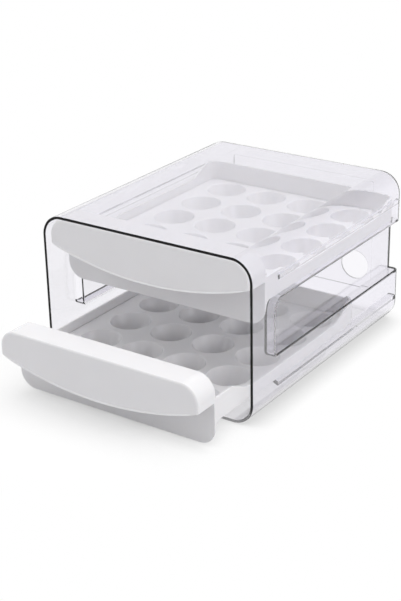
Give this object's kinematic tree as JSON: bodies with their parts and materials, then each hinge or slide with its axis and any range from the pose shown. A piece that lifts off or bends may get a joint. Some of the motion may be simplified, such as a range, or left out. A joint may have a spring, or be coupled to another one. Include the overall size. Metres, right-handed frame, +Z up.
{
  "type": "egg holder",
  "caption": "Two-tier egg holder: a clear open-fronted case with side grips and two white drawers that slide out by a finger hood, each with a lift-out tray of egg cups.",
  "frame": {"origin": "centre of the case's underside", "axes": "+Z up, +X to the right seen from the front, +Y to the back; the drawers slide out along -Y"},
  "size_m": [0.216, 0.331, 0.148],
  "materials": {
    "clear_case": "clear gloss",
    "white_drawer": "satin",
    "white_tray": "satin"
  },
  "bodies": {
    "case": {"outer_case": "clear_case"},
    "lower": {"lower_drawer": "white_drawer", "lower_egg_tray": "white_tray"},
    "upper": {"upper_drawer": "white_drawer", "upper_egg_tray": "white_tray"}
  },
  "joints": [
    {"name": "lower_slide", "type": "slide", "parent": "case", "child": "lower", "axis": [0, -1, 0], "range_m": [-0.073, 0.092]},
    {"name": "upper_slide", "type": "slide", "parent": "case", "child": "upper", "axis": [0, -1, 0], "range_m": [0, 0.165]}
  ]
}
